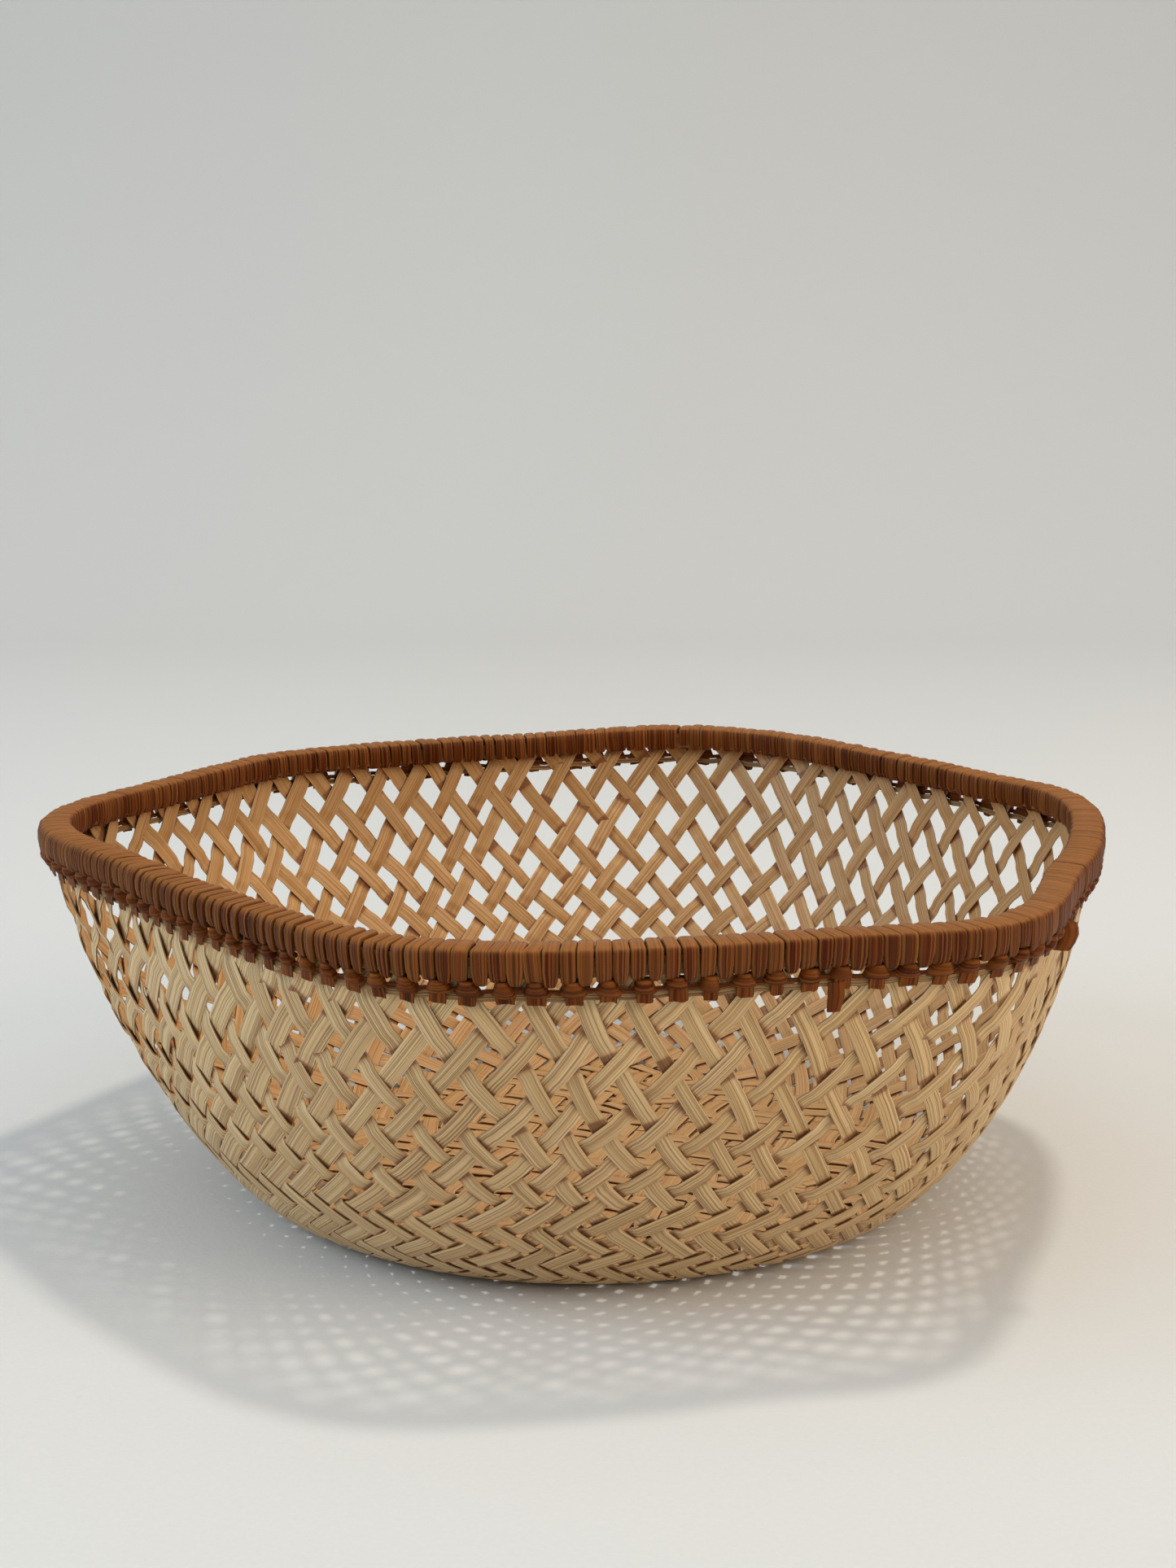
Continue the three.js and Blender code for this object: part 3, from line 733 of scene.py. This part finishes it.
# A Mix node's colour sockets: the factor, the two colours and the result
FACTOR, FIRST, SECOND, MIXED = 0, 6, 7, 2


def mix(factor, first, second):
    """The first colour where the factor is 0, the second where it is 1."""
    inputs = {FACTOR: factor, FIRST: first, SECOND: second}
    return factor.node("ShaderNodeMix", {"data_type": "RGBA"}, inputs, MIXED)


def noise(where, detail=2.0, roughness=0.5, scale=1.0):
    """Noise from about 0 to 1 at the coordinates."""
    return where.node("ShaderNodeTexNoise", {"noise_dimensions": "3D"},
                      {"Vector": where, "Scale": scale, "Detail": detail, "Roughness": roughness})


def new_finish(name):
    """A material and its node tree, which is empty."""
    material = bpy.data.materials.new(name)
    material.use_nodes = True
    material.node_tree.nodes.clear()
    return material, material.node_tree


def finish_with(tree, shade, bump, distance, roughness, specular=0.4):
    """Ends a tree in a Principled shader with its colour, its roughness and a bump distance metres high."""
    normal = add_node(tree, "ShaderNodeBump", {}, {"Strength": 1.0, "Distance": distance, "Height": bump})
    shader = add_node(tree, "ShaderNodeBsdfPrincipled", {}, {
        "Base Color": shade, "Roughness": roughness, "Specular IOR Level": specular, "Normal": normal})
    add_node(tree, "ShaderNodeOutputMaterial", {}, {"Surface": shader})


def own_map(tree):
    """The piece's own lengthwise and crosswise coordinates."""
    lay = add_node(tree, "ShaderNodeUVMap", {"uv_map": "lay"})
    along = lay.node("ShaderNodeSeparateXYZ", {}, {0: lay}, "X")
    across = Wire(tree, along.socket.node.outputs["Y"])
    return along, across


def at(x, y, z):
    """Coordinates from three wires or numbers."""
    wire = next(value for value in (x, y, z) if isinstance(value, Wire))
    return wire.node("ShaderNodeCombineXYZ", {}, {0: x, 1: y, 2: z})


# Tones of split bamboo
BAMBOO = colour(188, 142, 92)
BAMBOO_BAND = colour(226, 186, 128)
FIBRE = colour(228, 200, 156)
SLOW_TONE = colour(208, 172, 118)
PALE_LINE = colour(238, 214, 172)
DARK_LINE = colour(134, 90, 48)
# The inner face's tone: partly the bamboo's own inner side, partly painted warm bounce light
INNER_FACE_AND_BOUNCE = colour(182, 126, 66)
# Painted shade beside and inside a dive under a crossing splint
PAINTED_SHADE_NEAR_DIVE = colour(176, 116, 68)
PAINTED_SHADE_IN_DIVE = colour(118, 60, 28)
CUT_EDGE = colour(238, 212, 166)


def splint_finish():
    """Split bamboo: bands, fibres, pale and dark lines along it, slow changes of tone, an orange inner face
    partly from painted bounce light, painted red-brown shade where it dives under a neighbour, and pale cut
    edges.

    The crosswise coordinate is 3 times the splint's number, plus 1 on the inner face, plus 0 to 1 across.
    """
    material, tree = new_finish("split_bamboo")
    along, across = own_map(tree)
    number = (across / 3).floor()
    face = across - number * 3
    side = face.fraction()
    bands = noise(at(along * 10, side * 5.5, number * 1.7))
    fibres = noise(at(along * 12, side * 17, number * 2.9))
    lines = noise(at(along * 9, side * 22, number * 5.3), detail=1.0)
    tone = noise(at(along * 9, number * 0.37, 2.0), detail=1.0)
    shade = mix(bands.between(0.36, 0.62), BAMBOO, BAMBOO_BAND)
    shade = mix(fibres.between(0.4, 0.66) * 0.6, shade, FIBRE)
    shade = mix(tone.between(0.35, 0.65) * 0.3, shade, SLOW_TONE)
    pale = lines.between(0.45, 0.36)
    shade = mix(pale * 0.5, shade, PALE_LINE)
    dark = lines.between(0.55, 0.64)
    shade = mix(dark * 0.5, shade, DARK_LINE)
    # A more orange inner face, partly painted warm bounce light
    inner = face.between(0.98, 1.02)
    shade = mix(inner * 0.55, shade, INNER_FACE_AND_BOUNCE)
    # Painted red-brown shade where the splint dives under its neighbour, strongest beneath the crossing
    # splint
    under = add_node(tree, "ShaderNodeAttribute", {"attribute_name": "under"}, {}, "Fac")
    shade = mix(under.between(0.0, 0.6) * 0.35, shade, PAINTED_SHADE_NEAR_DIVE)
    shade = mix(under.between(0.45, 1.0) * 0.7, shade, PAINTED_SHADE_IN_DIVE)
    edge = (side - 0.5).absolute().between(0.45, 0.49)
    shade = mix(edge * 0.4, shade, CUT_EDGE)
    bump = bands * 0.35 + fibres * 0.45 - dark * 0.6
    finish_with(tree, shade, bump, distance=0.00014, roughness=0.5, specular=0.3)
    return material


# Tone of the painted shade in the gaps between strips of cane
PAINTED_GAP_SHADE = colour(44, 18, 4)
# Distance along a wrap where the rim's top starts and ends, and half the width of these changes, in metres
TOP_START = 0.008
TOP_END = 0.016
TOP_BLUR = 0.0006


def cane_finish(name, dark, middle, light, lines, top=0.0):
    """Cane: fine grain, dark grooves and painted highlight streaks along the strip, painted shade at its
    edges and a paler line beside it that is partly wear and partly a painted highlight, and each strip's own
    tone.

    The crosswise coordinate is 2 times the strip's number, plus 0 to 1 across. lines is how often the grain
    changes across a strip, and top is the share of light painted onto the rim's top, partly for its wear and
    partly as painted light from above.
    """
    material, tree = new_finish(name)
    along, across = own_map(tree)
    number = (across / 2).floor()
    side = (across - number * 2).fraction()
    tone = add_node(tree, "ShaderNodeTexWhiteNoise", {"noise_dimensions": "1D"}, {"W": number})
    grain = noise(at(along * 30, side * lines, number * 2.3), detail=3.0, roughness=0.6)
    grooves = noise(at(along * 12, side * lines * 1.5, number * 4.1), detail=1.0)
    shade = mix(grain.between(0.32, 0.68), dark, middle)
    shade = mix(tone * 0.3, shade, light)
    groove = grooves.between(0.55, 0.64)
    shade = mix(groove * 0.5, shade, dark)
    # Painted highlight streaks along each strip
    painted_highlight_streak = grooves.between(0.46, 0.38)
    shade = mix(painted_highlight_streak * 0.34, shade, light)
    from_middle = (side - 0.5).absolute()
    # A paler band near each strip's edges: partly wear, partly a painted highlight on the rounded edge
    edge_wear_and_sheen = from_middle.between(0.28, 0.38)
    shade = mix(edge_wear_and_sheen * 0.3, shade, light)
    # The rim's top painted lighter: partly wear, partly painted light from above
    onto_top = along.between(TOP_START - TOP_BLUR, TOP_START + TOP_BLUR)
    off_top = along.between(TOP_END - TOP_BLUR, TOP_END + TOP_BLUR)
    shade = mix(onto_top * (1 - off_top) * top, shade, light)
    # Painted shade at each strip's edges, for the gaps between the strips
    gap_shade = from_middle.between(0.42, 0.48)
    shade = mix(gap_shade * 0.5, shade, PAINTED_GAP_SHADE)
    bump = grain * 0.6 - groove * 0.8
    finish_with(tree, shade, bump, distance=0.00016, roughness=0.48, specular=0.12)
    return material


def hidden_bamboo(name, dark, light):
    """Plain bamboo for the hoops and the filler, with level grain: noise that is squeezed upwards."""
    material, tree = new_finish(name)
    place = add_node(tree, "ShaderNodeTexCoord", {}, {}, "Object")
    squeezed = place.node("ShaderNodeMapping", {}, {"Vector": place, "Scale": (40.0, 40.0, 900.0)})
    grain = noise(squeezed, detail=3.0)
    shade = mix(grain.between(0.3, 0.7), dark, light)
    finish_with(tree, shade, grain, distance=0.0002, roughness=0.6)
    return material


# Floor, lights and background, in metres

FLOOR_HALF_WIDTH = 6.0
FLOOR_FRONT = -6.0
BACKDROP_PLACE = 1.6
BACKDROP_BEND = 0.6
BACKDROP_TOP = 2.6
# Each lamp's name, place, width, power and tint, and the place that they all face
LAMPS = (("key", (0.33, 0.25, 1.6), 0.14, 7.5, (1.0, 0.93, 0.82)),
         ("left_fill", (-1.5, -0.3, 0.9), 1.2, 14.0, (0.56, 0.79, 1.0)),
         ("right_fill", (1.3, -0.7, 0.9), 1.2, 11.0, (1.0, 0.85, 0.64)))
LAMP_TARGET = (0, 0, 0.04)
# The surround's tone, its strength at its lowest, what is added to that overhead, and where it is seen
SURROUND = (0.8, 0.8, 0.8, 1)
LIGHT_BELOW = 0.08
LIGHT_ABOVE = 0.8
SEEN_STRENGTH = 0.72


def floor_paper():
    """Pale matt paper with a very fine grain."""
    material, tree = new_finish("floor_paper")
    place = add_node(tree, "ShaderNodeTexCoord", {}, {}, "Object")
    paper = noise(place, scale=900.0)
    shade = mix(paper, colour(214, 213, 210), colour(220, 219, 216))
    finish_with(tree, shade, paper, distance=0.00005, roughness=0.8, specular=0.2)
    return material


def make_floor():
    """A level floor that turns up into a backdrop behind the basket, by a quarter of a circle."""
    turn = np.linspace(0, np.pi / 2, 40)
    foot = BACKDROP_PLACE - BACKDROP_BEND
    y = np.concatenate([[FLOOR_FRONT], foot + BACKDROP_BEND * np.sin(turn), [BACKDROP_PLACE]])
    z = np.concatenate([[0], BACKDROP_BEND - BACKDROP_BEND * np.cos(turn), [BACKDROP_TOP]])
    rows = len(y)
    points = [(side * FLOOR_HALF_WIDTH, y[i], z[i]) for side in (-1, 1) for i in range(rows)]
    faces = [(i, i + rows, i + rows + 1, i + 1) for i in range(rows - 1)]
    mesh = bpy.data.meshes.new("floor")
    mesh.from_pydata(points, [], faces)
    mesh.shade_smooth()
    mesh.materials.append(floor_paper())
    floor = bpy.data.objects.new("floor", mesh)
    bpy.context.scene.collection.objects.link(floor)


def make_lamps():
    """A small warm lamp high up for the shadow, and a wide soft one at each side."""
    for name, place, size, power, tint in LAMPS:
        data = bpy.data.lights.new(name, "AREA")
        data.shape = "DISK"
        data.size = size
        data.energy = power
        data.color = tint
        lamp = bpy.data.objects.new(name, data)
        lamp.location = place
        aim = np.array(LAMP_TARGET) - place
        tip = np.arctan2(np.hypot(aim[0], aim[1]), -aim[2])
        turn = np.arctan2(aim[1], aim[0]) - np.pi / 2
        lamp.rotation_euler = (tip, 0, turn)
        bpy.context.scene.collection.objects.link(lamp)


def make_surround():
    """Light that grows with the height it comes from, and one even tone where the surround itself is seen."""
    world = bpy.data.worlds.new("world")
    world.use_nodes = True
    tree = world.node_tree
    way = add_node(tree, "ShaderNodeTexCoord", {}, {}, "Generated")
    height = way.node("ShaderNodeSeparateXYZ", {}, {0: way}, "Z")
    background = tree.nodes["Background"]
    background.inputs["Color"].default_value = SURROUND
    from_above = height.between(-0.1, 0.9) * LIGHT_ABOVE + LIGHT_BELOW
    seen = add_node(tree, "ShaderNodeLightPath", {}, {}, "Is Camera Ray")
    for ray in ("Is Glossy Ray", "Is Transmission Ray"):
        seen = seen.maths("MAXIMUM", seen, add_node(tree, "ShaderNodeLightPath", {}, {}, ray))
    strength = from_above * (1 - seen) + seen * SEEN_STRENGTH
    tree.links.new(strength.socket, background.inputs["Strength"])
    bpy.context.scene.world = world


# The basket

make_camera()
bpy.context.scene.view_settings.view_transform = "Standard"
split_bamboo = splint_finish()
binding_cane = cane_finish("binding_cane", dark=colour(60, 19, 0), middle=colour(99, 36, 0),
                           light=colour(164, 105, 50), lines=5, top=0.65)
knot_cane = cane_finish("knot_cane", dark=colour(62, 22, 0), middle=colour(108, 47, 2),
                        light=colour(156, 90, 32), lines=5)
edge_bamboo = cane_finish("edge_bamboo", dark=colour(120, 88, 54), middle=colour(166, 128, 84),
                          light=colour(184, 150, 106), lines=4)
make_splints(split_bamboo)
for part in range(LENGTHS):
    binding(part, binding_cane)
    knots(part, knot_cane)
strand("runner_strip", level=SHOULDER - 3.5, off=0.75, half_height=0.68, thickness=0.25,
       nodes=["runner"], finish=edge_bamboo, number=1)
strand("knot_link", level=SHOULDER - 2.15, off=0.9, half_height=0.5, thickness=0.3,
       nodes=["runner"], finish=knot_cane, number=901)
short_strip("loose_end",
            [(292.1, SHOULDER - 3.0, 1.8), (292.2, SHOULDER - 6, 2.0), (292.1, SHOULDER - 9.2, 2.2)],
            half_widths=(1.5, 1.7, 1.6, 1.3), thickness=0.3, node="loose_tail", finish=knot_cane, number=902)
short_strip("end_knot_fold",
            [(322, SHOULDER - 0.3, 0.5), (322.1, SHOULDER - 1.4, 1.0), (322.2, SHOULDER - 3.0, 1.3),
             (322, SHOULDER - 4.8, 0.9), (321.8, SHOULDER - 6.3, 0.2)],
            half_widths=(1.8, 2.5, 2.9, 2.8, 2.0), thickness=4.4, node="end_knot", finish=knot_cane,
            number=907, outline=HOOD_OUTLINE)
hoop_bamboo = hidden_bamboo("hoop_bamboo", colour(94, 60, 30), colour(132, 92, 54))
filler_strip = hidden_bamboo("filler_strip", colour(90, 60, 34), colour(124, 90, 56))
hidden = {"inner_hoop": hoop_bamboo, "outer_hoop": hoop_bamboo, "rim_filler": filler_strip}
for node, finish in hidden.items():
    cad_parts[node].data.materials.clear()
    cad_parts[node].data.materials.append(finish)
make_floor()
make_lamps()
make_surround()
